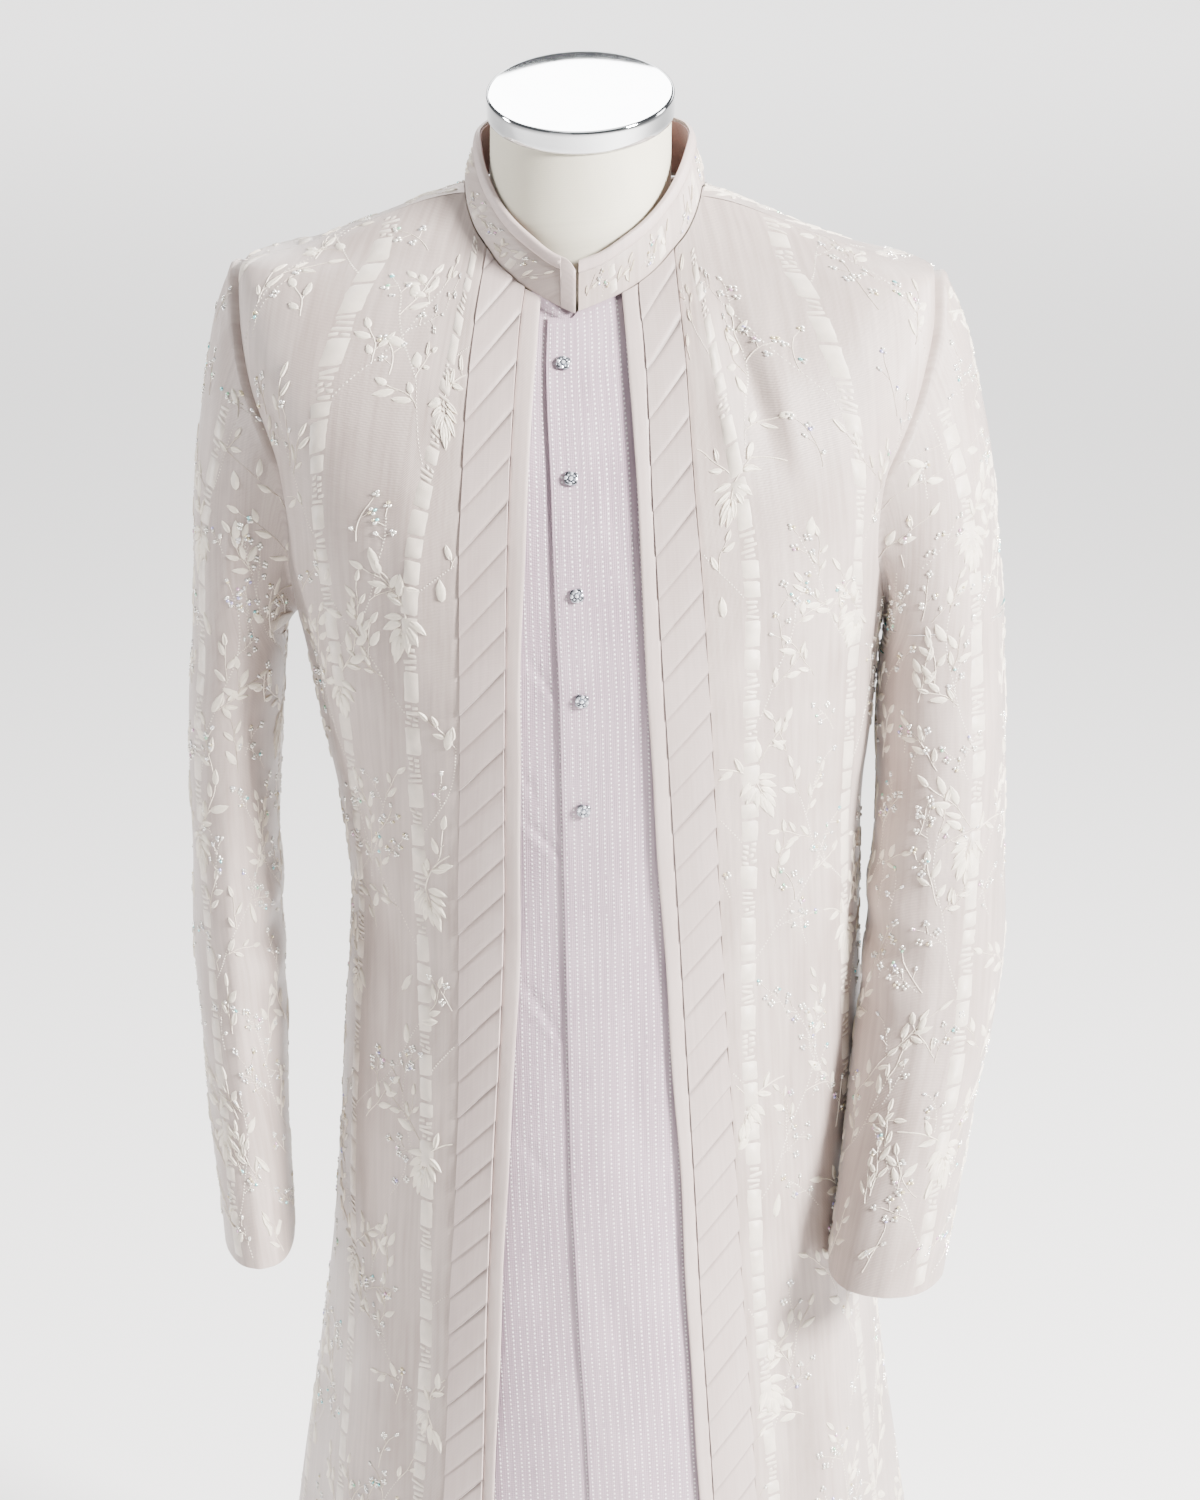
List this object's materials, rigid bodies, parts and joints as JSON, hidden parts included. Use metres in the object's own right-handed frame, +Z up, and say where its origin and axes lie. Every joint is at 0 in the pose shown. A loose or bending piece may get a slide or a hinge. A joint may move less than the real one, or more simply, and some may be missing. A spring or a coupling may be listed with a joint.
{
  "type": "sherwani coat on dress form",
  "caption": "Knee-length embroidered sherwani coat with stand collar, tucked front bands, dotted inner front and studs, on a limbless dress form with a pole stand.",
  "frame": {"origin": "centre of the stand base's underside, on the floor", "axes": "+Z up along the stand pole, -Y the coat's front, +X the wearer's left"},
  "size_m": [0.569, 0.359, 1.4798],
  "materials": {
    "coat_cloth": "pale greige-mauve satin-faced suiting with raised tonal ivory embroidery and small clear sequins",
    "plain_satin": "plain satin-faced cloth of the same colour, folded in diagonal tucks or flat",
    "inner_satin": "lavender-pink satin with upright rows of small pearly dots",
    "collar_lining": "dusty rose-brown smooth lining",
    "stud_crystal": "silver-set clear stones",
    "form_cover": "smooth cream stretch cover",
    "chrome": "polished chrome",
    "stand_paint": "satin pale grey painted steel"
  },
  "bodies": {
    "root": {"front_right": "coat_cloth", "front_left": "coat_cloth", "back": "coat_cloth", "sleeve_right": "coat_cloth", "sleeve_left": "coat_cloth", "collar": "coat_cloth", "tuck_band_right": "plain_satin", "tuck_band_left": "plain_satin", "edge_band_right": "plain_satin", "edge_band_left": "plain_satin", "collar_edge": "plain_satin", "inner_front_left": "inner_satin", "inner_front_right": "inner_satin", "collar_lining": "collar_lining", "form_torso": "form_cover", "neck_cap": "chrome", "stand_pole": "chrome", "stand_base": "stand_paint", "button_1": "stud_crystal", "button_2": "stud_crystal", "button_3": "stud_crystal", "button_4": "stud_crystal", "button_5": "stud_crystal"}
  },
  "joints": []
}
